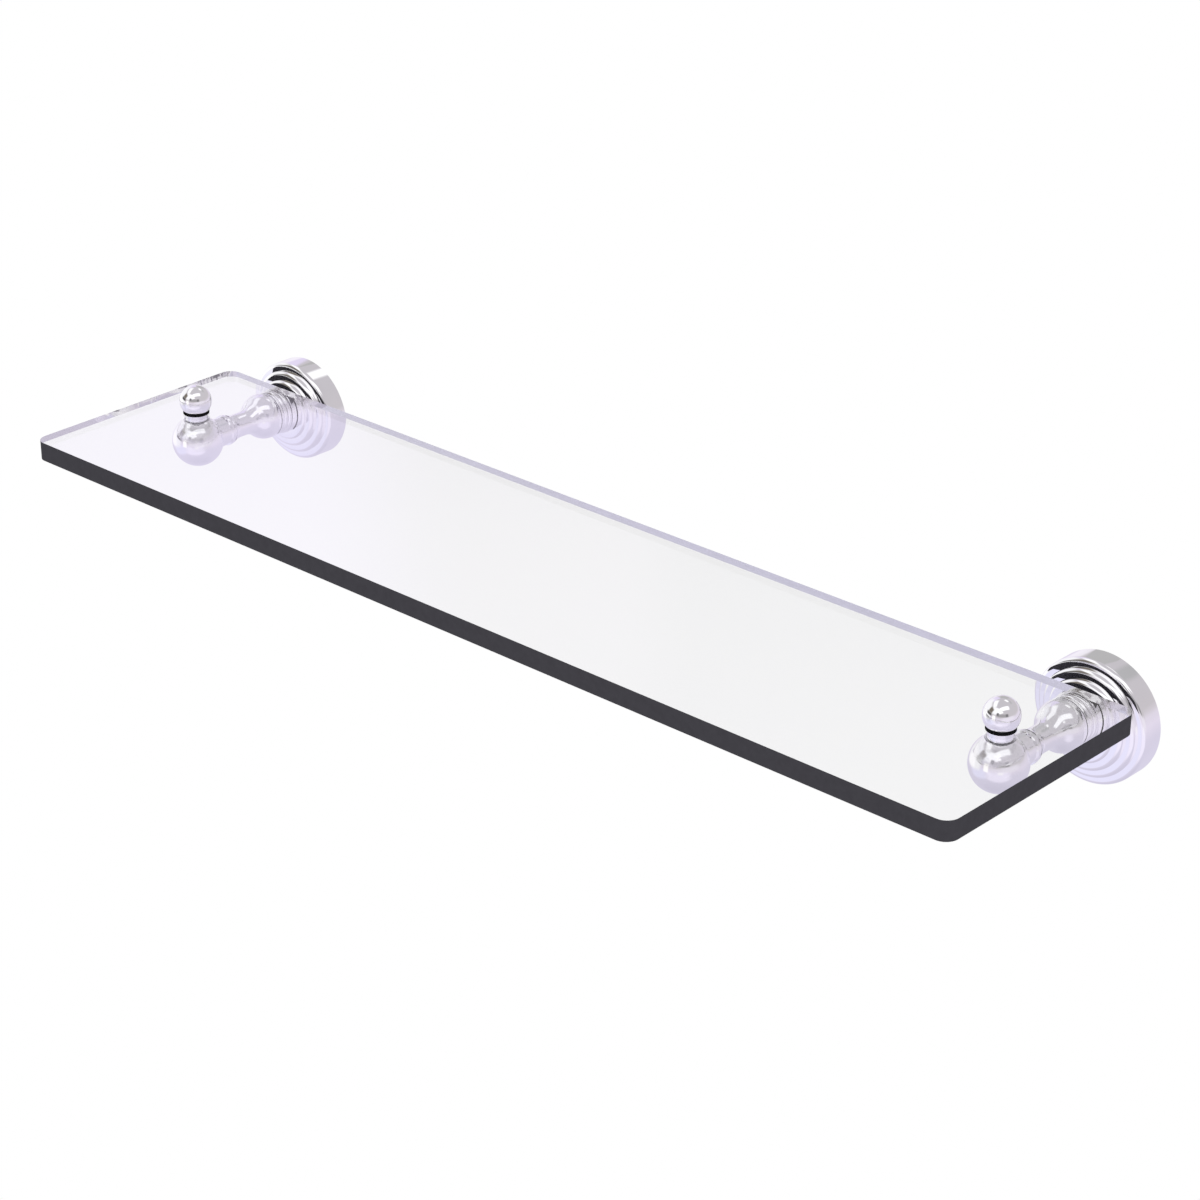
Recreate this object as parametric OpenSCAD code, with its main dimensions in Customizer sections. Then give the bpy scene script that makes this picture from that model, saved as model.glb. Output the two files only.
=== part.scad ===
// Glass wall shelf on two turned brackets, with screw-down ball finials.
// Frame: +X along the shelf, +Y into the wall, +Z up. The origin is on the wall, midway between the
// two brackets and level with the axes of their arms.

/* [Glass shelf] */

// Length of the glass along the wall (mm)
shelf_length = 558.8; // [508:0.1:762]

// Depth of the glass, front edge to back edge (mm)
shelf_depth = 127; // [120:0.5:150]

// Thickness of the glass (mm)
glass_thickness = 9.525; // [8:0.025:12]

// Radius of the four rounded corners of the glass (mm)
corner_radius = 6.35; // [2:0.05:12]

// Diameter of the two holes drilled through the glass (mm)
glass_hole_dia = 11; // [10.8:0.1:12]

// Distance from the back edge of the glass to the centres of its holes (mm)
hole_setback = 50.8; // [45:0.1:60]

/* [Brackets] */

// Distance between the two bracket axes (mm)
bracket_spacing = 495.3; // [400:0.1:500]

// Distance from the wall to the centre of the support ball (mm)
bracket_reach = 74.6; // [74:0.1:80]

// Diameter of the support ball under the glass (mm)
support_ball_dia = 25.6; // [25:0.1:26]

// Diameter of the thinnest part of the arm (mm)
neck_dia = 12; // [10:0.1:13]

// Diameter of the widest part of the arm's bulb (mm)
bulb_dia = 23.1; // [21:0.1:23.1]

// Outer diameter of the stepped wall flange (mm)
flange_dia = 57.15; // [56:0.05:62]

/* [Finials] */

// Diameter of the ball finial (mm)
finial_dia = 16; // [14:0.1:18]

// Diameter of the soft washers above and below the glass (mm)
washer_dia = 13; // [12.4:0.1:13.4]

// Thickness of the rubber washer between the finial and the glass (mm)
top_washer_thickness = 1.5; // [1:0.1:2]

// Thickness of the clear washer between the glass and the support ball (mm)
seat_washer_thickness = 0.45; // [0.35:0.05:1.5]

// Diameter of the threaded stud that clamps the glass (mm)
stud_dia = 5; // [4:0.1:5]

/* [Wall plate] */

// Distance between the two screw holes of a wall plate, one above the other (mm)
wall_hole_spacing = 31.75; // [28:0.05:34]

// Diameter of the screw holes in the wall plates (mm)
wall_hole_dia = 4.8; // [4:0.1:5.5]

// Thickness of the wall plate (mm)
plate_thickness = 7; // [6:0.1:7.5]

/* [Hidden] */

$fn = 96;
hex_sides = 6;
cut = 1;
big = 200;

// Brackets stand at these two places along the wall
left_x = -bracket_spacing / 2;
right_x = bracket_spacing / 2;

// Radii
ball_r = support_ball_dia / 2;
washer_r = washer_dia / 2;
finial_r = finial_dia / 2;
stud_r = stud_dia / 2;
neck_r = neck_dia / 2;
bulb_r = bulb_dia / 2;
rim_r = flange_dia / 2;
glass_hole_r = glass_hole_dia / 2;
wall_hole_r = wall_hole_dia / 2;

// Heights above the arm's axis, from the ball's flat seat up to the finial
seat_r = 6;
seat_z = sqrt(pow(ball_r, 2) - pow(seat_r, 2));
glass_z = seat_z + seat_washer_thickness;
glass_top_z = glass_z + glass_thickness;
rubbing_gap = 0.05;
top_washer_z = glass_top_z + rubbing_gap;
finial_base_z = top_washer_z + top_washer_thickness + rubbing_gap;
finial_base_r = 6.3;
finial_z = finial_base_z + sqrt(pow(finial_r, 2) - pow(finial_base_r, 2));

// Clamping stud, its tapped holes and the parts it passes through
thread_gap = 0.05;
stud_grip = 7.8;
stud_bottom_z = seat_z - stud_grip;
stud_in_finial = 7;
stud_top_z = finial_base_z + stud_in_finial;
stud_tip = 0.6;
tap_below_stud = 0.6;
washer_bore_r = stud_r + 0.1;
free_bore_r = stud_r + 0.35;
sleeve_gap = 0.2;
sleeve_r = glass_hole_r - sleeve_gap;
sleeve_short = 0.3;

// Tie rod that pulls the ball, the spindle, the ferrule and the flange together
rod_r = 3;
rod_gap = 0.1;
rod_tap_gap = 0.05;
rod_start = 4.5;
rod_chamfer = 0.5;
rod_past_nut = 0.8;
nut_flats = 10;
nut_thickness = 5;
nut_chamfer_angle_drop = 0.5;
lock_washer_r = 5.2;
lock_washer_thickness = 1.4;
lock_washer_slit = 0.6;

// Arm, measured from the ball's centre towards the wall
ball_flat_s = 10.2;
joint_gap = 0.2;
collar_start = ball_flat_s + joint_gap;
collar_r = 7.5;
collar_waist_r = 7.05;
collar_end = 16.9;
collar_ring_r = 7.7;
collar_ring_end = 19.2;
collar_ring_round = 0.9;
collar_groove_r = 6.7;
cove_start = 19.7;
cove_top_r = 7.4;
cove_length = 5.6;
cove_r = 12;
bulb_arc_r = 10;
flare_r = 10.6;
bulb_s = 43.2;
bulb_centre_r = bulb_r - bulb_arc_r;
flare_rise = neck_r + flare_r - bulb_centre_r;
flare_run = sqrt(pow(bulb_arc_r + flare_r, 2) - pow(flare_rise, 2));
flare_start = bulb_s - flare_run;
flare_end = flare_start + flare_run * flare_r / (bulb_arc_r + flare_r);
spindle_end = 46.4;

// Ferrule: a reeded ring between the spindle and the flange
ferrule_start = spindle_end + joint_gap;
ferrule_core_r = 10.3;
ferrule_ring_r = 11.4;
ferrule_ring_length = 1.5;
ferrule_bead_r = 1.2;
ferrule_beads = 2;
ferrule_bead_pitch = 2.55;
ferrule_bead_first = ferrule_start + 3.05;
ferrule_first_out = 11.4;
ferrule_growth = 0.3;
ferrule_base_r = 11.95;
ferrule_base_start = 53.5;
ferrule_base_end = 55.9;
ferrule_spigot_r = 9.8;

// Wall flange: four steps, each with a rounded front edge, measured out from the wall
step_radii = [rim_r, rim_r - 3.975, rim_r - 8.075, rim_r - 12.275];
step_fronts = [11.6, 14.3, 16.9, 18.3];
step_rounds = [2, 2.1, 2.1, 1.3];
flange_wall = 2.1;
flange_recess_r = 12.3;
flange_recess = 0.3;
flange_seat = step_fronts[3] - flange_recess;
ferrule_end = bracket_reach - flange_seat;
flange_back_wall = flange_seat - 16;
flange_bore_r = 3.2;

// Wall plate and the grub screw that holds the flange on it
plate_gap = 0.9;
plate_r = rim_r - flange_wall - plate_gap;
plate_centre_hole_r = 5;
plate_groove = 1;
plate_groove_half = 1.6;
screw_head_room_r = 4.6;
screw_head_depth = 2.3;
grub_r = 2;
grub_gap = 0.05;
grub_axis = plate_thickness / 2;
grub_recess = 0.3;
grub_tip_r = 0.5;
grub_tip = 1.5;
grub_clear = 0.05;
grub_socket_flats = 2;
grub_socket_depth = 1.7;
grub_bottom = plate_r - plate_groove + grub_clear;
grub_top = rim_r - grub_recess;

module at_bracket(x) {
  translate([x, 0, 0]) children();
}

// Turned about the arm's axis, heights measured from the ball towards the wall
module turned_arm() {
  translate([0, -bracket_reach, 0]) rotate([-90, 0, 0]) rotate_extrude() children();
}

// Turned about the arm's axis, heights measured out from the wall
module turned_from_wall() {
  rotate([90, 0, 0]) rotate_extrude() children();
}

module arm_bore(radius, from, to) {
  translate([0, -bracket_reach + from, 0]) rotate([-90, 0, 0]) cylinder(h = to - from, r = radius);
}

module glass_outline() {
  w = shelf_length;
  d = shelf_depth;
  c = corner_radius;
  translate([-w / 2 + c, -d / 2]) square([w - 2 * c, d]);
  translate([-w / 2, -d / 2 + c]) square([w, d - 2 * c]);
  for (x = [-w / 2 + c, w / 2 - c], y = [-d / 2 + c, d / 2 - c]) translate([x, y]) circle(r = c);
}

module glass_shelf() {
  centre_y = -bracket_reach + hole_setback - shelf_depth / 2;
  color([0.86, 0.88, 0.95, 0.35]) difference() {
    translate([0, centre_y, glass_z]) linear_extrude(glass_thickness) glass_outline();
    for (x = [left_x, right_x]) {
      translate([x, -bracket_reach, glass_z - cut]) cylinder(h = glass_thickness + 2 * cut, r = glass_hole_r);
    }
  }
}

// One step of the flange, full to the axis, with a rounded front edge
module flange_step(radius, front, edge) {
  square([radius, front - edge]);
  square([radius - edge, front]);
  translate([radius - edge, front - edge]) intersection() {
    circle(r = edge);
    square(edge);
  }
}

module flange_hollow(radius, depth) {
  translate([0, -cut]) square([radius, depth + cut]);
}

module wall_flange() {
  color([0.86, 0.86, 0.88]) difference() {
    turned_from_wall() difference() {
      union() {
        for (i = [0:3]) flange_step(step_radii[i], step_fronts[i], step_rounds[i]);
      }
      for (i = [0:2]) flange_hollow(step_radii[i] - flange_wall, step_fronts[i] - flange_wall);
      flange_hollow(step_radii[3] - flange_wall, flange_seat - flange_back_wall);
      translate([0, flange_seat]) square([flange_recess_r, cut]);
      square([flange_bore_r, big]);
    }
    translate([0, -grub_axis, -rim_r - cut]) cylinder(h = flange_wall + 2 * cut, r = grub_r + grub_gap);
  }
}

module wall_plate() {
  color([0.66, 0.67, 0.69]) difference() {
    turned_from_wall() difference() {
      translate([plate_centre_hole_r, 0]) square([plate_r - plate_centre_hole_r, plate_thickness]);
      polygon([
        [plate_r + cut, grub_axis - plate_groove_half - cut],
        [plate_r - plate_groove, grub_axis - plate_groove_half + cut],
        [plate_r - plate_groove, grub_axis + plate_groove_half - cut],
        [plate_r + cut, grub_axis + plate_groove_half + cut]
      ]);
    }
    for (side = [-1, 1]) translate([0, cut, side * wall_hole_spacing / 2]) rotate([90, 0, 0]) {
      cylinder(h = plate_thickness + 2 * cut, r = wall_hole_r);
      translate([0, 0, cut + plate_thickness - screw_head_depth])
        cylinder(h = screw_head_depth + cut, r = screw_head_room_r);
    }
  }
}

module set_screw() {
  socket_r = grub_socket_flats / 2 / cos(180 / hex_sides);
  color([0.30, 0.30, 0.32]) translate([0, -grub_axis, 0]) rotate([180, 0, 0]) difference() {
    union() {
      translate([0, 0, grub_bottom]) cylinder(h = grub_tip, r1 = grub_tip_r, r2 = grub_r);
      translate([0, 0, grub_bottom + grub_tip]) cylinder(h = grub_top - grub_bottom - grub_tip, r = grub_r);
    }
    translate([0, 0, grub_top - grub_socket_depth])
      cylinder(h = grub_socket_depth + cut, r = socket_r, $fn = hex_sides);
  }
}

lock_washer_front = flange_seat - flange_back_wall;
nut_front = lock_washer_front - lock_washer_thickness;
nut_back = nut_front - nut_thickness;
rod_end = bracket_reach - nut_back + rod_past_nut;

module lock_washer() {
  color([0.62, 0.63, 0.65]) difference() {
    turned_from_wall() translate([rod_r + rod_gap, nut_front])
      square([lock_washer_r - rod_r - rod_gap, lock_washer_thickness]);
    translate([-lock_washer_slit / 2, -lock_washer_front - cut, 0])
      cube([lock_washer_slit, lock_washer_thickness + 2 * cut, lock_washer_r + cut]);
  }
}

module rod_nut() {
  corner_r = nut_flats / 2 / cos(180 / hex_sides);
  color([0.70, 0.71, 0.73]) difference() {
    intersection() {
      translate([0, -nut_back, 0]) rotate([90, 0, 0])
        cylinder(h = nut_thickness, r = corner_r, $fn = hex_sides);
      turned_from_wall() polygon([
        [0, nut_back],
        [nut_flats / 2, nut_back],
        [corner_r, nut_back + nut_chamfer_angle_drop],
        [corner_r, nut_front],
        [0, nut_front]
      ]);
    }
    turned_from_wall() square([rod_r + rod_tap_gap, big]);
  }
}

module tie_rod() {
  color([0.60, 0.61, 0.63]) turned_arm() polygon([
    [0, rod_start],
    [rod_r - rod_chamfer, rod_start],
    [rod_r, rod_start + rod_chamfer],
    [rod_r, rod_end - rod_chamfer],
    [rod_r - rod_chamfer, rod_end],
    [0, rod_end]
  ]);
}

module ferrule() {
  color([0.86, 0.86, 0.88]) turned_arm() difference() {
    union() {
      translate([0, ferrule_start]) square([ferrule_core_r, ferrule_base_start - ferrule_start]);
      translate([0, ferrule_start]) square([ferrule_ring_r, ferrule_ring_length]);
      for (i = [0:ferrule_beads - 1]) {
        out_r = ferrule_first_out + i * ferrule_growth;
        translate([out_r - ferrule_bead_r, ferrule_bead_first + i * ferrule_bead_pitch])
          circle(r = ferrule_bead_r);
      }
      translate([0, ferrule_base_start]) square([ferrule_base_r, ferrule_base_end - ferrule_base_start]);
      translate([0, ferrule_base_end]) square([ferrule_spigot_r, ferrule_end - ferrule_base_end]);
    }
    square([rod_r + rod_gap, big]);
  }
}

module spindle_outline() {
  // collar against the ball, tapering to a ring with a flat front and a rounded back
  polygon([
    [0, collar_start],
    [collar_r, collar_start],
    [collar_waist_r, collar_end],
    [0, collar_end]
  ]);
  translate([0, collar_end]) square([collar_groove_r, cove_start - collar_end]);
  translate([0, collar_end]) square([collar_ring_r, collar_ring_end - collar_ring_round - collar_end]);
  translate([0, collar_end]) square([collar_ring_r - collar_ring_round, collar_ring_end - collar_end]);
  translate([collar_ring_r - collar_ring_round, collar_ring_end - collar_ring_round])
    circle(r = collar_ring_round);
  // cove from the collar down to the neck
  difference() {
    translate([0, cove_start]) square([cove_top_r, cove_length]);
    translate([neck_r + cove_r, cove_start + cove_length]) circle(r = cove_r);
  }
  translate([0, cove_start]) square([neck_r, flare_start - cove_start]);
  // flare from the neck out to the bulb
  difference() {
    translate([0, flare_start]) square([neck_r + flare_r, flare_end - flare_start]);
    translate([neck_r + flare_r, flare_start]) circle(r = flare_r);
  }
  // bulb, cut off flat where the ferrule begins
  intersection() {
    translate([bulb_centre_r, bulb_s]) circle(r = bulb_arc_r);
    translate([0, flare_start]) square([bulb_r + cut, spindle_end - flare_start]);
  }
}

module spindle() {
  color([0.86, 0.86, 0.88]) turned_arm() difference() {
    spindle_outline();
    square([rod_r + rod_gap, big]);
  }
}

module support_ball() {
  color([0.86, 0.86, 0.88]) difference() {
    translate([0, -bracket_reach, 0]) sphere(r = ball_r);
    translate([-ball_r, -bracket_reach - ball_r, seat_z]) cube([2 * ball_r, 2 * ball_r, ball_r]);
    translate([-ball_r, -bracket_reach + ball_flat_s, -ball_r]) cube([2 * ball_r, ball_r, 2 * ball_r]);
    translate([0, -bracket_reach, stud_bottom_z - tap_below_stud])
      cylinder(h = ball_r, r = stud_r + thread_gap);
    arm_bore(rod_r + rod_tap_gap, rod_start - rod_tap_gap, ball_r);
  }
}

module flat_washer(radius, bore, bottom, thickness) {
  translate([0, -bracket_reach, bottom]) rotate_extrude()
    translate([bore, 0]) square([radius - bore, thickness]);
}

module seat_washer() {
  color([0.90, 0.90, 0.92, 0.6]) flat_washer(washer_r, free_bore_r, seat_z, seat_washer_thickness);
}

module hole_sleeve() {
  color([0.93, 0.93, 0.92])
    flat_washer(sleeve_r, free_bore_r, glass_z, glass_thickness - sleeve_short);
}

module top_washer() {
  color([0.05, 0.05, 0.06]) flat_washer(washer_r, washer_bore_r, top_washer_z, top_washer_thickness);
}

module finial_stud() {
  color([0.62, 0.63, 0.65]) translate([0, -bracket_reach, 0]) rotate_extrude() polygon([
    [0, stud_bottom_z],
    [stud_r - stud_tip, stud_bottom_z],
    [stud_r, stud_bottom_z + stud_tip],
    [stud_r, stud_top_z],
    [0, stud_top_z]
  ]);
}

module finial() {
  color([0.86, 0.86, 0.88]) translate([0, -bracket_reach, 0]) difference() {
    translate([0, 0, finial_z]) sphere(r = finial_r);
    translate([-finial_r, -finial_r, finial_base_z - finial_r]) cube([2 * finial_r, 2 * finial_r, finial_r]);
    translate([0, 0, finial_base_z - cut]) cylinder(h = stud_in_finial + cut, r = stud_r);
  }
}

glass_shelf();

at_bracket(left_x) wall_flange();  // left_wall_flange
at_bracket(left_x) wall_plate();  // left_wall_plate
at_bracket(left_x) set_screw();  // left_set_screw
at_bracket(left_x) rod_nut();  // left_rod_nut
at_bracket(left_x) lock_washer();  // left_lock_washer
at_bracket(left_x) tie_rod();  // left_tie_rod
at_bracket(left_x) ferrule();  // left_ferrule
at_bracket(left_x) spindle();  // left_spindle
at_bracket(left_x) support_ball();  // left_support_ball
at_bracket(left_x) seat_washer();  // left_seat_washer
at_bracket(left_x) hole_sleeve();  // left_hole_sleeve
at_bracket(left_x) top_washer();  // left_top_washer
at_bracket(left_x) finial_stud();  // left_finial_stud
at_bracket(left_x) finial();  // left_finial

at_bracket(right_x) wall_flange();  // right_wall_flange
at_bracket(right_x) wall_plate();  // right_wall_plate
at_bracket(right_x) set_screw();  // right_set_screw
at_bracket(right_x) rod_nut();  // right_rod_nut
at_bracket(right_x) lock_washer();  // right_lock_washer
at_bracket(right_x) tie_rod();  // right_tie_rod
at_bracket(right_x) ferrule();  // right_ferrule
at_bracket(right_x) spindle();  // right_spindle
at_bracket(right_x) support_ball();  // right_support_ball
at_bracket(right_x) seat_washer();  // right_seat_washer
at_bracket(right_x) hole_sleeve();  // right_hole_sleeve
at_bracket(right_x) top_washer();  // right_top_washer
at_bracket(right_x) finial_stud();  // right_finial_stud
at_bracket(right_x) finial();  // right_finial
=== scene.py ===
import bpy, bmesh, math
from mathutils import Vector, Matrix

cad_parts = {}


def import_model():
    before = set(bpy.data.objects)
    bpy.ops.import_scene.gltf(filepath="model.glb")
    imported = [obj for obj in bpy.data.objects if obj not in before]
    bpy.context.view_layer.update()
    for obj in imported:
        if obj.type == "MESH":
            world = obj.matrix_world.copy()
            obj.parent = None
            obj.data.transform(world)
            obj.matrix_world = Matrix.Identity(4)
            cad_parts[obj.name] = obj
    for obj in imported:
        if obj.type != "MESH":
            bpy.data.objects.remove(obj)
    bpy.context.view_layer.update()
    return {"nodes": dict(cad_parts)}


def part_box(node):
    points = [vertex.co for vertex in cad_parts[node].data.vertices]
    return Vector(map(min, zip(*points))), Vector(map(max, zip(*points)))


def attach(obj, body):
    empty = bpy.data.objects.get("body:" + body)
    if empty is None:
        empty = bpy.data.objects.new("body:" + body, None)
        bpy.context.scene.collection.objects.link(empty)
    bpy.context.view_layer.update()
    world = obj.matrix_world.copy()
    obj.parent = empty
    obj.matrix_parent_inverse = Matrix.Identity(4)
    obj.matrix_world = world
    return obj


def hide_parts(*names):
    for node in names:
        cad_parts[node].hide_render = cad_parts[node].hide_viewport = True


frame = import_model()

MM = 0.001
SIDES = ("left", "right")
ROOT = "shelf_on_brackets"

# ---------------------------------------------------------------- places, read from the CAD frame
glass_lo, glass_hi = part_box("glass_shelf")
glass_mid = (glass_lo + glass_hi) / 2
GLASS_TOP, GLASS_BOTTOM = glass_hi.z, glass_lo.z


def middle(node):
    lo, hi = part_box(node)
    return (lo + hi) / 2


axis_x = {s: middle(s + "_tie_rod").x for s in SIDES}
REACH = -middle("left_top_washer").y
ARM_Z = middle("left_tie_rod").z


# ---------------------------------------------------------------- node helpers
# The part of a noise's range that a colour or a roughness is spread over
NOISE_LOW, NOISE_HIGH = 0.3, 0.7
NOISE_ROUGHNESS = 0.55


def new_material(name):
    material = bpy.data.materials.new(name)
    material.use_nodes = True
    tree = material.node_tree
    tree.nodes.clear()
    out = tree.nodes.new("ShaderNodeOutputMaterial")
    return material, tree, out


def add(tree, kind, **settings):
    node = tree.nodes.new(kind)
    for key, value in settings.items():
        if key.startswith("in_"):
            node.inputs[key[3:].replace("_", " ")].default_value = value
        else:
            setattr(node, key, value)
    return node


def join(tree, a, out, b, into):
    tree.links.new(a.outputs[out], b.inputs[into])


def object_coords(tree, scale=(1, 1, 1)):
    texture = add(tree, "ShaderNodeTexCoord")
    mapping = add(tree, "ShaderNodeMapping")
    mapping.inputs["Scale"].default_value = scale
    join(tree, texture, "Object", mapping, "Vector")
    return mapping


def noise(tree, coords, scale, detail):
    texture = add(tree, "ShaderNodeTexNoise", in_Scale=scale, in_Detail=detail, in_Roughness=NOISE_ROUGHNESS)
    join(tree, coords, "Vector", texture, "Vector")
    return texture


def principled(name, **settings):
    """A new material with one principled shader on its surface."""
    material, tree, out = new_material(name)
    shader = add(tree, "ShaderNodeBsdfPrincipled", **settings)
    join(tree, shader, "BSDF", out, "Surface")
    return material, tree, shader


def tint(tree, pattern, shader, low, high):
    """Colours a shader between two shades, by a noise."""
    shades = add(tree, "ShaderNodeValToRGB")
    first, last = shades.color_ramp.elements
    first.position, last.position = NOISE_LOW, NOISE_HIGH
    first.color, last.color = (*low, 1), (*high, 1)
    join(tree, pattern, "Fac", shades, "Fac")
    join(tree, shades, "Color", shader, "Base Color")


def roughen(tree, pattern, shader, low, high):
    """Roughens a shader between two values, by a noise."""
    spread = add(tree, "ShaderNodeMapRange", in_From_Min=NOISE_LOW, in_From_Max=NOISE_HIGH)
    spread.inputs["To Min"].default_value = low
    spread.inputs["To Max"].default_value = high
    join(tree, pattern, "Fac", spread, "Value")
    join(tree, spread, "Result", shader, "Roughness")


def emboss(tree, pattern, shader, strength, depth):
    """Raises a noise as a fine relief."""
    bump = add(tree, "ShaderNodeBump", in_Strength=strength, in_Distance=depth)
    join(tree, pattern, "Fac", bump, "Height")
    join(tree, bump, "Normal", shader, "Normal")


# ---------------------------------------------------------------- materials
def chrome():
    """Polished plate: a mirror with very faint polishing marks."""
    material, tree, shader = principled("polished_chrome", in_Metallic=1.0)
    coords = object_coords(tree)
    tint(tree, noise(tree, coords, 60.0, 2.0), shader, (0.93, 0.925, 0.935), (0.965, 0.96, 0.97))
    roughen(tree, noise(tree, coords, 900.0, 4.0), shader, 0.015, 0.035)
    return material


def glass_body():
    """Clear glass of the top, the underside and the drilled holes."""
    material, tree, shader = principled(
        "clear_glass", in_Roughness=0.0, in_IOR=1.5, in_Transmission_Weight=1.0
    )
    cloud = noise(tree, object_coords(tree), 6.0, 1.0)
    tint(tree, cloud, shader, (0.985, 0.985, 0.995), (0.995, 0.995, 1.0))
    return material


def glass_edge():
    """Flat polished edge: from outside a painted shade, a near-black matt colour standing in for the shade
    seen in a glass edge, and from inside a dim mirror, because light travelling in the sheet is turned back
    by its edges."""
    material, tree, out = new_material("glass_edge")
    coords = object_coords(tree)
    # Painted shade: seen from outside, the edge gets a near-black matt colour with faint noise, in place of
    # the shade a glass edge shows.
    painted_edge_shade = add(tree, "ShaderNodeBsdfPrincipled", in_Roughness=0.6, in_Specular_IOR_Level=0.0)
    tint(tree, noise(tree, coords, 300.0, 3.0), painted_edge_shade, (0.050, 0.048, 0.056), (0.056, 0.054, 0.063))
    mirror = add(tree, "ShaderNodeBsdfPrincipled", in_Roughness=0.0, in_Metallic=1.0)
    tint(tree, noise(tree, coords, 40.0, 2.0), mirror, (0.72, 0.715, 0.71), (0.77, 0.765, 0.76))
    mix = add(tree, "ShaderNodeMixShader")
    side_seen = add(tree, "ShaderNodeNewGeometry").outputs["Backfacing"]
    for socket, source in zip(mix.inputs, (side_seen, painted_edge_shade.outputs["BSDF"], mirror.outputs["BSDF"])):
        tree.links.new(source, socket)
    join(tree, mix, "Shader", out, "Surface")
    return material


def rubber():
    """Matt black rubber with a fine grain."""
    material, tree, shader = principled("black_rubber", in_Specular_IOR_Level=0.15)
    grain = noise(tree, object_coords(tree), 2500.0, 4.0)
    tint(tree, grain, shader, (0.002, 0.002, 0.002), (0.006, 0.006, 0.007))
    roughen(tree, grain, shader, 0.6, 0.8)
    emboss(tree, grain, shader, 0.15, 0.00005)
    return material


def plain_steel(name, low, high):
    """Unpolished steel, with fine streaks across the arm's direction."""
    material, tree, shader = principled(name, in_Metallic=1.0)
    spots = noise(tree, object_coords(tree), 180.0, 2.0)
    tint(tree, spots, shader, (low, low, low * 1.02), (high, high, high * 1.03))
    streak = noise(tree, object_coords(tree, (1, 12, 1)), 500.0, 4.0)
    roughen(tree, streak, shader, 0.28, 0.45)
    emboss(tree, streak, shader, 0.1, 0.00003)
    return material


def nylon():
    """Natural white nylon, with a little light passing through it."""
    depth = (0.002, 0.002, 0.002)
    material, tree, shader = principled(
        "white_nylon", in_Roughness=0.45, in_Subsurface_Weight=0.2, in_Subsurface_Radius=depth
    )
    tint(tree, noise(tree, object_coords(tree), 400.0, 2.0), shader, (0.82, 0.82, 0.80), (0.88, 0.88, 0.87))
    return material


def vinyl():
    """Clear soft plastic."""
    material, tree, shader = principled("clear_vinyl", in_IOR=1.45, in_Transmission_Weight=1.0)
    cloud = noise(tree, object_coords(tree), 500.0, 2.0)
    tint(tree, cloud, shader, (0.93, 0.93, 0.95), (0.98, 0.98, 0.99))
    roughen(tree, cloud, shader, 0.05, 0.12)
    return material


CHROME = chrome()
GLASS, EDGE = glass_body(), glass_edge()
RUBBER, VINYL = rubber(), vinyl()
ZINC = plain_steel("zinc_steel", 0.42, 0.56)
NYLON = nylon()
GRUB = plain_steel("dark_steel", 0.06, 0.10)

# ---------------------------------------------------------------- turned pieces
TURN_STEPS = 160
FLANGE_STEPS = 240
SMALL_STEPS = 48
CUTTER_STEPS = 64
HOLE_STEPS = 96
SHARP = math.radians(22)
SAME_POINT = 1e-4
ON_AXIS = 1e-6
WELD = 1e-7


def on_circle(cx, cy, r, degrees):
    a = math.radians(degrees)
    return cx + r * math.cos(a), cy + r * math.sin(a)


def arc(cx, cy, r, a0, a1, step):
    """Points of an arc in the half-profile plane. Angles are in degrees, from the radial
    direction towards +height."""
    count = max(2, int(math.ceil(abs(a1 - a0) / step)))
    return [on_circle(cx, cy, r, a0 + (a1 - a0) * i / count) for i in range(count + 1)]


def without_repeats(points):
    out = []
    for p in points:
        if not out or math.dist(out[-1], p) > SAME_POINT:
            out.append(p)
    if math.dist(out[0], out[-1]) < SAME_POINT:
        out.pop()
    return out


def mark_sharp(bm):
    for f in bm.faces:
        f.smooth = True
    for e in bm.edges:
        if len(e.link_faces) == 2 and e.calc_face_angle(0.0) > SHARP:
            e.smooth = False


def ring(bm, r, h, steps):
    """The corners that one profile point sweeps out, or a single corner on the axis."""
    if r < ON_AXIS:
        return [bm.verts.new((0, 0, h * MM))]
    turns = [2 * math.pi * k / steps for k in range(steps)]
    return [bm.verts.new((r * MM * math.cos(t), r * MM * math.sin(t), h * MM)) for t in turns]


def turned(name, profile, to_world, closed=True, steps=TURN_STEPS):
    """A solid of revolution. The profile is a list of (radius, height) in mm. A closed profile
    has a bore, and an open one runs from pole to pole."""
    bm = bmesh.new()
    rings = [ring(bm, r, h, steps) for r, h in without_repeats(profile)]
    pairs = list(zip(rings, rings[1:])) + ([(rings[-1], rings[0])] if closed else [])
    for a, b in pairs:
        if len(a) == 1 and len(b) == 1:
            continue
        for k in range(steps):
            j = (k + 1) % steps
            if len(a) == 1:
                bm.faces.new((a[0], b[k], b[j]))
            elif len(b) == 1:
                bm.faces.new((a[k], b[0], a[j]))
            else:
                bm.faces.new((a[k], b[k], b[j], a[j]))
    bmesh.ops.recalc_face_normals(bm, faces=bm.faces)
    mark_sharp(bm)
    bm.transform(to_world)
    if to_world.determinant() < 0:
        bmesh.ops.reverse_faces(bm, faces=bm.faces)
    mesh = bpy.data.meshes.new(name)
    bm.to_mesh(mesh)
    bm.free()
    obj = bpy.data.objects.new(name, mesh)
    bpy.context.scene.collection.objects.link(obj)
    return obj


def upright(side):
    """Heights above the arm's axis, on the ball's vertical axis."""
    return Matrix.Translation((axis_x[side], -REACH, ARM_Z))


def along_arm(side):
    """Heights from the ball's centre towards the wall."""
    return Matrix.Translation((axis_x[side], -REACH, ARM_Z)) @ Matrix.Rotation(math.radians(-90), 4, "X")


def from_wall(side):
    """Heights out from the wall."""
    return Matrix.Translation((axis_x[side], 0, ARM_Z)) @ Matrix.Rotation(math.radians(90), 4, "X")


def dress(obj, material, body, node):
    obj.data.materials.append(material)
    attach(obj, body)
    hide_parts(node)


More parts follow.
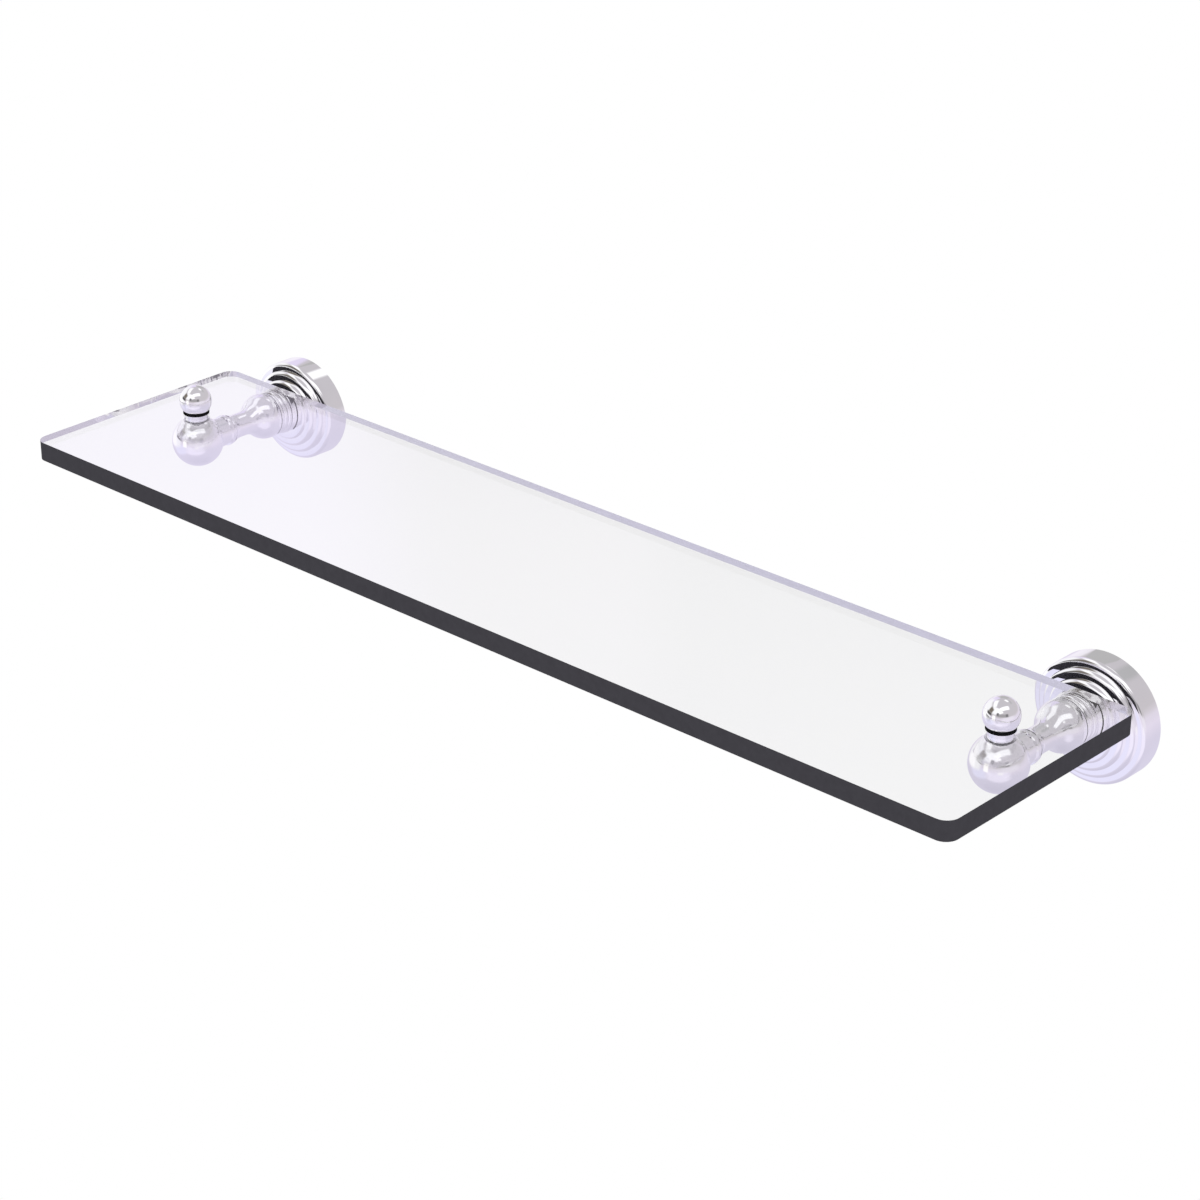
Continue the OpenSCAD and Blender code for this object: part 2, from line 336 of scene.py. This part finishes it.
# Sizes in mm, as the CAD has them. Heights count up from the arm's axis.
BALL_R, FINIAL_R, WASHER_R, SEAT_R = 12.8, 8.0, 6.5, 6.0
SEAT_Z = math.sqrt(BALL_R ** 2 - SEAT_R ** 2)
SEAT_T, TOP_T, GAP = 0.45, 1.5, 0.05
SHY = 0.01  # keeps the clear washer's faces off the faces it touches
GLASS_T = (GLASS_TOP - GLASS_BOTTOM) / MM
GLASS_Z = SEAT_Z + SEAT_T
TOP_Z = GLASS_Z + GLASS_T + GAP
FINIAL_BASE_Z, FINIAL_BASE_R = TOP_Z + TOP_T + GAP, 6.3
FINIAL_Z = FINIAL_BASE_Z + math.sqrt(FINIAL_R ** 2 - FINIAL_BASE_R ** 2)
TOP_SOFT, SEAT_SOFT = 0.25, 0.15

# Stud, and the holes round it
STUD_R, STUD_GRIP, STUD_IN, STUD_TIP = 2.5, 7.8, 7.0, 0.6
THREAD_PITCH, THREAD_DEPTH, THREAD_PAST = 0.8, 0.3, 0.1
TAPPED_R, TAP_BELOW = STUD_R + 0.05, 0.6
TOP_BORE, SEAT_BORE = STUD_R + 0.1, STUD_R + 0.35

# Along the arm, counted from the ball's centre towards the wall
BALL_FLAT, COLLAR_START, COLLAR_R, WAIST_R, COLLAR_END = 10.2, 10.4, 7.5, 7.05, 16.9
RING_R, RING_END, RING_ROUND, GROOVE_R, COVE_START = 7.7, 19.2, 0.9, 6.7, 19.7
COVE_LENGTH, COVE_R, NECK_R = 5.6, 12.0, 6.0
FLARE_R, BULB_R, BULB_ARC_R, BULB_S, SPINDLE_END = 10.6, 11.55, 10.0, 43.2, 46.4
COLLAR_EDGE, RING_EDGE = 0.15, 0.08
ROD_START, ROD_TAPPED_R, ROD_BORE = 4.45, 3.05, 3.1
FERRULE_START, FERRULE_CORE, FERRULE_RING_R, FERRULE_RING_L = 46.6, 10.3, 11.4, 1.5
BEADS, BEAD_R, BEAD_PITCH, BEAD_FIRST, BEAD_OUT, BEAD_GROW = 2, 1.2, 2.55, 3.05, 11.4, 0.3
FERRULE_BASE_R, FERRULE_BASE, FERRULE_BASE_END, SPIGOT_R = 11.95, 53.5, 55.9, 9.8
FERRULE_EDGE, FERRULE_BACK_ROUND, BASE_EDGE = 0.1, 0.5, 0.2

# Flange, counted out from the wall
RIM_R = 28.575
STEP_R = [RIM_R - inset for inset in (0, 3.975, 8.075, 12.275)]
STEP_D = [11.6, 14.3, 16.9, 18.3]
STEP_ROUND = [2.0, 2.1, 2.1, 1.3]
FLANGE_WALL, FLANGE_SEAT, FLANGE_BACK, RECESS_R, FLANGE_BORE = 2.1, 18.0, 16.0, 12.3, 3.2
FERRULE_END = REACH / MM - FLANGE_SEAT
GRUB_HOLE_R, GRUB_HOLE_Y = 2.05, -3.5
CLEAR = 20  # how far a cutter reaches past what it cuts


def finial_profile():
    edge = math.degrees(math.atan2(FINIAL_BASE_Z - FINIAL_Z, FINIAL_BASE_R))
    points = [(0, FINIAL_Z + FINIAL_R)] + arc(0, FINIAL_Z, FINIAL_R, 90, edge, step=3)[1:]
    socket = FINIAL_BASE_Z + STUD_IN
    return points + [(STUD_R, FINIAL_BASE_Z), (STUD_R, socket), (0, socket)]


def washer_profile(bore, z, t, soft):
    """A flat washer with its outer edges rounded by soft."""
    mid = WASHER_R - soft
    points = [(bore, z), (mid, z)] + arc(mid, z + soft, soft, -90, 0, step=20)
    return points + arc(mid, z + t - soft, soft, 0, 90, step=20) + [(bore, z + t)]


def stud_profile():
    lo, hi = SEAT_Z - STUD_GRIP, FINIAL_BASE_Z + STUD_IN
    points = [(0, lo), (STUD_R - STUD_TIP, lo), (STUD_R, lo + STUD_TIP)]
    z = lo + STUD_TIP + THREAD_DEPTH
    while z < SEAT_Z + THREAD_PAST:
        points += [(STUD_R, z), (STUD_R - THREAD_DEPTH, z + THREAD_PITCH / 2)]
        z += THREAD_PITCH
    return points + [(STUD_R, z), (STUD_R, hi), (0, hi)]


def spindle_profile():
    cove_end = COVE_START + COVE_LENGTH
    cove_dip = math.degrees(math.asin(COVE_LENGTH / COVE_R))
    rise = NECK_R + FLARE_R - (BULB_R - BULB_ARC_R)
    run = math.sqrt((BULB_ARC_R + FLARE_R) ** 2 - rise ** 2)
    flare_turn = math.degrees(math.atan2(run, rise))
    bulb_end = math.degrees(math.asin((SPINDLE_END - BULB_S) / BULB_ARC_R))
    points = [(ROD_BORE, COLLAR_START), (COLLAR_R - COLLAR_EDGE, COLLAR_START)]
    points += [(COLLAR_R, COLLAR_START + COLLAR_EDGE), (WAIST_R, COLLAR_END)]
    points += [(RING_R - RING_EDGE, COLLAR_END), (RING_R, COLLAR_END + RING_EDGE)]
    points += arc(RING_R - RING_ROUND, RING_END - RING_ROUND, RING_ROUND, 0, 90, step=10)
    points += [(GROOVE_R, RING_END), (GROOVE_R, COVE_START)]
    points += arc(NECK_R + COVE_R, cove_end, COVE_R, 180 + cove_dip, 180, step=3)
    points += arc(NECK_R + FLARE_R, BULB_S - run, FLARE_R, 180, 180 - flare_turn, step=3)
    points += arc(BULB_R - BULB_ARC_R, BULB_S, BULB_ARC_R, -flare_turn, bulb_end, step=3)
    return points + [(ROD_BORE, SPINDLE_END)]


def ferrule_profile():
    ring_end = FERRULE_START + FERRULE_RING_L
    back = FERRULE_BACK_ROUND
    points = [(ROD_BORE, FERRULE_START), (FERRULE_RING_R - FERRULE_EDGE, FERRULE_START)]
    points += [(FERRULE_RING_R, FERRULE_START + FERRULE_EDGE)]
    points += arc(FERRULE_RING_R - back, ring_end - back, back, 0, 90, step=15)
    points += [(FERRULE_CORE, ring_end)]
    for i in range(BEADS):
        centre_r = BEAD_OUT + i * BEAD_GROW - BEAD_R
        centre_s = FERRULE_START + BEAD_FIRST + i * BEAD_PITCH
        half = math.degrees(math.acos((FERRULE_CORE - centre_r) / BEAD_R))
        points += arc(centre_r, centre_s, BEAD_R, -half, half, step=10)
    points += [(FERRULE_CORE, FERRULE_BASE), (FERRULE_BASE_R - BASE_EDGE, FERRULE_BASE)]
    points += [(FERRULE_BASE_R, FERRULE_BASE + BASE_EDGE), (FERRULE_BASE_R, FERRULE_BASE_END)]
    points += [(SPIGOT_R, FERRULE_BASE_END), (SPIGOT_R, FERRULE_END)]
    return points + [(ROD_BORE, FERRULE_END)]


def flange_profile():
    points = [(RIM_R - FLANGE_WALL, 0), (RIM_R, 0)]
    for i, (radius, depth, rounding) in enumerate(zip(STEP_R, STEP_D, STEP_ROUND)):
        if i:
            points += [(radius, STEP_D[i - 1])]
        points += arc(radius - rounding, depth - rounding, rounding, 0, 90, step=9)
    points += [(RECESS_R, STEP_D[3]), (RECESS_R, FLANGE_SEAT)]
    points += [(FLANGE_BORE, FLANGE_SEAT), (FLANGE_BORE, FLANGE_BACK)]
    points += [(STEP_R[3] - FLANGE_WALL, FLANGE_BACK)]
    for i in (2, 1, 0):
        back = STEP_D[i] - FLANGE_WALL
        points += [(STEP_R[i + 1] - FLANGE_WALL, back), (STEP_R[i] - FLANGE_WALL, back)]
    return points


def cutter(name, radius, low, high, to_world, steps=CUTTER_STEPS):
    outline = [(0, low), (radius, low), (radius, high), (0, high)]
    return turned(name, outline, to_world, closed=False, steps=steps)


def cut_with(obj, cutters):
    """Cuts the cutters out of obj and leaves a plain mesh."""
    for c in cutters:
        modifier = obj.modifiers.new("cut", "BOOLEAN")
        modifier.operation, modifier.solver, modifier.object = "DIFFERENCE", "EXACT", c
    bpy.context.view_layer.update()
    graph = bpy.context.evaluated_depsgraph_get()
    mesh = bpy.data.meshes.new_from_object(obj.evaluated_get(graph))
    obj.modifiers.clear()
    old = obj.data
    obj.data = mesh
    bpy.data.meshes.remove(old)
    for c in cutters:
        bpy.data.objects.remove(c)
    bm = bmesh.new()
    bm.from_mesh(mesh)
    bmesh.ops.remove_doubles(bm, verts=bm.verts, dist=WELD)
    mark_sharp(bm)
    bm.to_mesh(mesh)
    bm.free()
    return obj


def support_ball(side):
    flat = math.degrees(math.asin(BALL_FLAT / BALL_R))
    points = [(0, -BALL_R)] + arc(0, 0, BALL_R, -90, flat, step=2.5)[1:]
    points += [(ROD_TAPPED_R, BALL_FLAT), (ROD_TAPPED_R, ROD_START), (0, ROD_START)]
    ball = turned(side + "_ball", points, along_arm(side), closed=False)
    top = cutter("cutter_top", CLEAR, SEAT_Z, CLEAR, upright(side))
    tapped_to = SEAT_Z - STUD_GRIP - TAP_BELOW
    bore = cutter("cutter_bore", TAPPED_R, tapped_to, CLEAR + 1, upright(side))
    return cut_with(ball, [top, bore])


def flange(side):
    body = turned(side + "_flange", flange_profile(), from_wall(side), steps=FLANGE_STEPS)
    below = Matrix.Translation((axis_x[side], GRUB_HOLE_Y * MM, ARM_Z)) @ Matrix.Rotation(math.pi, 4, "X")
    grub = cutter("cutter_grub", GRUB_HOLE_R, CLEAR, 2 * CLEAR, below, SMALL_STEPS)
    return cut_with(body, [grub])


def finial(side):
    """The finial and its stud, on one body, and the black washer, on a body of its own."""
    knob, washer = side + "_finial_knob", side + "_finial_washer"
    ball = turned(side + "_finial_ball", finial_profile(), upright(side), closed=False)
    dress(ball, CHROME, knob, side + "_finial")
    stud = turned(side + "_stud", stud_profile(), upright(side), closed=False, steps=SMALL_STEPS)
    dress(stud, ZINC, knob, side + "_finial_stud")
    top = turned(side + "_top_rubber", washer_profile(TOP_BORE, TOP_Z, TOP_T, TOP_SOFT), upright(side))
    dress(top, RUBBER, washer, side + "_top_washer")


def bracket(side):
    """The pieces fixed under the glass, from the clear washer to the wall."""
    seat_profile = washer_profile(SEAT_BORE, SEAT_Z + SHY, SEAT_T - 2 * SHY, SEAT_SOFT)
    seat = turned(side + "_seat_ring", seat_profile, upright(side))
    dress(seat, VINYL, ROOT, side + "_seat_washer")
    dress(support_ball(side), CHROME, ROOT, side + "_support_ball")
    spindle = turned(side + "_arm_spindle", spindle_profile(), along_arm(side))
    dress(spindle, CHROME, ROOT, side + "_spindle")
    ferrule = turned(side + "_arm_ferrule", ferrule_profile(), along_arm(side))
    dress(ferrule, CHROME, ROOT, side + "_ferrule")
    dress(flange(side), CHROME, ROOT, side + "_wall_flange")


# Pieces that keep the CAD's own shape
PLAIN_PIECES = {
    "wall_plate": ZINC,
    "set_screw": GRUB,
    "rod_nut": ZINC,
    "lock_washer": ZINC,
    "tie_rod": ZINC,
    "hole_sleeve": NYLON,
}

for side in SIDES:
    finial(side)
    bracket(side)
    for piece, material in PLAIN_PIECES.items():
        slots = frame["nodes"][side + "_" + piece].data.materials
        slots.clear()
        slots.append(material)


# ---------------------------------------------------------------- the glass
CORNER_R, CORNER_STEPS = 6.35 * MM, 16
GLASS_HOLE_R = 5.5 * MM
BODY_SLOT, EDGE_SLOT = 0, 1


def glass_outline():
    """The slab's outline seen from above, one rounded corner after another."""
    right, left = glass_hi.x - CORNER_R, glass_lo.x + CORNER_R
    back, front = glass_hi.y - CORNER_R, glass_lo.y + CORNER_R
    points = []
    for cx, cy, start in ((right, back, 0), (left, back, 90), (left, front, 180), (right, front, 270)):
        turns = [start + 90 * i / CORNER_STEPS for i in range(CORNER_STEPS + 1)]
        points += [on_circle(cx, cy, CORNER_R, t) for t in turns]
    return points


def glass_hole(side):
    turns = [360 * k / HOLE_STEPS for k in range(HOLE_STEPS)]
    return [on_circle(axis_x[side], -REACH, GLASS_HOLE_R, t) for t in turns]


def glass():
    """The slab with its two holes. The outer edge has its own material."""
    bm = bmesh.new()
    loops = [glass_outline()] + [glass_hole(side) for side in SIDES]
    levels = []
    for z in (GLASS_BOTTOM, GLASS_TOP):
        level, edges = [], []
        for loop in loops:
            corners = [bm.verts.new((x, y, z)) for x, y in loop]
            followers = corners[1:] + corners[:1]
            edges += [bm.edges.new(pair) for pair in zip(corners, followers)]
            level.append(corners)
        bmesh.ops.triangle_fill(bm, edges=edges, use_beauty=True)
        levels.append(level)
    for k, (low, high) in enumerate(zip(*levels)):
        for i in range(len(low)):
            j = (i + 1) % len(low)
            f = bm.faces.new((low[i], low[j], high[j], high[i]))
            f.material_index = EDGE_SLOT if k == 0 else BODY_SLOT
    bmesh.ops.recalc_face_normals(bm, faces=bm.faces)
    mark_sharp(bm)
    mesh = bpy.data.meshes.new("glass_slab")
    bm.to_mesh(mesh)
    bm.free()
    obj = bpy.data.objects.new("glass_slab", mesh)
    bpy.context.scene.collection.objects.link(obj)
    obj.data.materials.append(GLASS)
    obj.data.materials.append(EDGE)
    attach(obj, ROOT)
    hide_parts("glass_shelf")


glass()

# ---------------------------------------------------------------- studio
# Soft light all round, which only reflections see: a mauve-grey upper half, a lavender lower
# half, and soft boxes. The darker boxes are the room between the lights.
# Each box: azimuth from the wall side towards +X, elevation, half-width and half-height in
# degrees, then edge softness, colour and share.
BOXES = [
    (-63, 22, 14.5, 22, 0.12, (0.80, 0.73, 0.93), 1.0),
    (-52, 1, 14, 11, 0.40, (0.98, 0.95, 1.02), 0.8),
    (-30, 26, 10.5, 14, 0.08, (0.495, 0.49, 0.495), 1.0),
    (8, 43, 9, 5, 0.50, (0.47, 0.47, 0.48), 0.9),
    (105, 0, 35, 10, 0.50, (0.88, 0.84, 0.93), 0.8),
    (-137, -27, 30, 16, 0.50, (0.84, 0.82, 1.02), 1.0),
    (145, -31, 38, 18, 0.45, (0.95, 0.90, 1.06), 0.9),
    (-105, 8, 42, 30, 0.30, (1.00, 1.00, 1.02), 1.0),
    (-100, -9, 20, 12, 0.40, (1.16, 1.15, 1.16), 0.9),
    (-169, -2, 9, 13, 0.35, (1.18, 1.16, 1.14), 1.0),
    (172, 44, 20, 14, 0.35, (1.15, 1.15, 1.17), 1.0),
    (-160, 36, 18, 18, 0.40, (1.10, 1.10, 1.12), 0.9),
    (-104, 56, 22, 10, 0.45, (1.12, 1.12, 1.14), 1.0),
    (-8, 54, 8, 6, 0.40, (1.12, 1.12, 1.13), 1.0),
    (116, 62, 26, 11, 0.30, (1.20, 1.20, 1.22), 1.0),
    (146, 39, 8, 4, 0.40, (1.20, 1.20, 1.20), 1.0),
    (137, -14, 9, 5, 0.45, (1.00, 0.97, 1.02), 0.8),
    (140, 20, 34, 9, 0.45, (0.33, 0.32, 0.33), 0.8),
    (112, 20, 7, 8, 0.45, (0.17, 0.165, 0.175), 0.8),
    (171, 25, 6, 8, 0.45, (0.15, 0.145, 0.155), 0.9),
    (-135, 27, 14, 13, 0.40, (0.16, 0.135, 0.105), 0.95),
    (-133, 9, 18, 6, 0.45, (0.045, 0.04, 0.04), 0.95),
]
# Height of the direction (-1 straight down, 1 straight up) and the colour there. The first two
# rows are the ramp's own end stops.
SKY = [
    (-1.00, (0.64, 0.61, 0.75)),
    (1.00, (0.585, 0.565, 0.60)),
    (-0.80, (0.70, 0.665, 0.81)),
    (-0.45, (0.72, 0.68, 0.82)),
    (-0.17, (0.81, 0.75, 0.88)),
    (0.00, (0.77, 0.72, 0.82)),
    (0.10, (0.67, 0.63, 0.68)),
    (0.20, (0.60, 0.57, 0.60)),
]


# Sockets of a colour mix
MIX_FACTOR, MIX_FIRST, MIX_SECOND, MIX_RESULT = 0, 6, 7, 2
LEAST_FRONT, IN_FRONT, ANY_BOUNCE = 0.001, 0.05, 0.5
WHITE = (1, 1, 1, 1)


def calc(tree, operation, *values):
    """A maths node. Each value is a number or another node's socket."""
    node = add(tree, "ShaderNodeMath", operation=operation)
    for socket, value in zip(node.inputs, values):
        if isinstance(value, (int, float)):
            socket.default_value = value
        else:
            tree.links.new(value, socket)
    return node.outputs[0]


def along(tree, view, axis):
    """How far the direction of view goes along an axis."""
    node = add(tree, "ShaderNodeVectorMath", operation="DOT_PRODUCT")
    tree.links.new(view, node.inputs[0])
    node.inputs[1].default_value = axis
    return node.outputs["Value"]


def within(tree, slope, half_angle, soft):
    """1 inside the half-angle, falling to 0 across a soft edge."""
    edge = math.tan(math.radians(half_angle))
    outer, inner = edge * (1 + soft), edge * (1 - soft)
    node = add(tree, "ShaderNodeMapRange", in_From_Min=outer, in_From_Max=inner)
    node.interpolation_type = "SMOOTHSTEP"
    tree.links.new(slope, node.inputs["Value"])
    return node.outputs["Result"]


def sky(tree, view):
    base = add(tree, "ShaderNodeValToRGB")
    stops = base.color_ramp.elements
    for i, (z, light) in enumerate(SKY):
        at = (z + 1) / 2
        stop = stops[i] if i < 2 else stops.new(at)
        stop.position = at
        stop.color = (*light, 1)
    height = along(tree, view, (0, 0, 1))
    tree.links.new(calc(tree, "MULTIPLY", calc(tree, "ADD", height, 1), 0.5), base.inputs["Fac"])
    return base.outputs["Color"]


def soft_box(tree, view, behind, box):
    """Lays one soft box over the light behind it."""
    azimuth, elevation, half_width, half_height, soft, light, share = box
    a, e = math.radians(azimuth), math.radians(elevation)
    centre = Vector((math.sin(a) * math.cos(e), math.cos(a) * math.cos(e), math.sin(e)))
    right = Vector((math.cos(a), -math.sin(a), 0))
    up = right.cross(centre)
    front = calc(tree, "MAXIMUM", along(tree, view, centre), LEAST_FRONT)
    across = calc(tree, "ABSOLUTE", calc(tree, "DIVIDE", along(tree, view, right), front))
    upward = calc(tree, "ABSOLUTE", calc(tree, "DIVIDE", along(tree, view, up), front))
    in_width = within(tree, across, half_width, soft)
    in_height = within(tree, upward, half_height, soft)
    inside = calc(tree, "MULTIPLY", in_width, in_height)
    ahead = calc(tree, "GREATER_THAN", front, IN_FRONT)
    mix = add(tree, "ShaderNodeMix", data_type="RGBA")
    factor = calc(tree, "MULTIPLY", calc(tree, "MULTIPLY", inside, ahead), share)
    tree.links.new(factor, mix.inputs[MIX_FACTOR])
    tree.links.new(behind, mix.inputs[MIX_FIRST])
    mix.inputs[MIX_SECOND].default_value = (*light, 1)
    return mix.outputs[MIX_RESULT]


def world():
    """The studio for reflections, and plain white for everything else."""
    studio = bpy.data.worlds.new("studio")
    bpy.context.scene.world = studio
    studio.use_nodes = True
    tree = studio.node_tree
    tree.nodes.clear()
    out = add(tree, "ShaderNodeOutputWorld")
    view = add(tree, "ShaderNodeTexCoord").outputs["Generated"]
    light = sky(tree, view)
    for box in BOXES:
        light = soft_box(tree, view, light, box)
    path = add(tree, "ShaderNodeLightPath")
    reflected = calc(tree, "GREATER_THAN", path.outputs["Glossy Depth"], ANY_BOUNCE)
    pick = add(tree, "ShaderNodeMix", data_type="RGBA")
    tree.links.new(reflected, pick.inputs[MIX_FACTOR])
    pick.inputs[MIX_FIRST].default_value = WHITE
    tree.links.new(light, pick.inputs[MIX_SECOND])
    background = add(tree, "ShaderNodeBackground")
    tree.links.new(pick.outputs[MIX_RESULT], background.inputs["Color"])
    join(tree, background, "Background", out, "Surface")


world()

FLOOR_DROP, FLOOR_HALF = 0.35, 6.0


def floor():
    """A wide white floor, which reflections, glass and shadows leave out."""
    quarters = ((-1, -1), (1, -1), (1, 1), (-1, 1))
    mesh = bpy.data.meshes.new("floor")
    mesh.from_pydata([(x * FLOOR_HALF, y * FLOOR_HALF, -FLOOR_DROP) for x, y in quarters], [], [(0, 1, 2, 3)])
    obj = bpy.data.objects.new("floor", mesh)
    bpy.context.scene.collection.objects.link(obj)
    material, tree, out = new_material("pale_floor")
    glow = add(tree, "ShaderNodeEmission", in_Color=WHITE)
    join(tree, glow, "Emission", out, "Surface")
    obj.data.materials.append(material)
    obj.visible_glossy = False
    obj.visible_transmission = False
    obj.visible_shadow = False


floor()

# ---------------------------------------------------------------- camera
# At the photograph's viewing angle. The offset is from the middle of the glass's top.
OFFSET_X, OFFSET_Y, OFFSET_Z = 0.912333, -0.942962, 0.611395
PITCH, ROLL, YAW = math.radians(64.354), math.radians(0.0273), math.radians(42.811)
LENS, SENSOR = 96.719, 36.0
FARTHEST = 50
cam_data = bpy.data.cameras.new("camera")
cam_data.lens, cam_data.sensor_width = LENS, SENSOR
cam_data.clip_end = FARTHEST
camera = bpy.data.objects.new("camera", cam_data)
camera.location = (glass_mid.x + OFFSET_X, glass_mid.y + OFFSET_Y, GLASS_TOP + OFFSET_Z)
camera.rotation_euler = (PITCH, ROLL, YAW)
bpy.context.scene.collection.objects.link(camera)
bpy.context.scene.camera = camera
bpy.context.scene.view_settings.view_transform = "Standard"
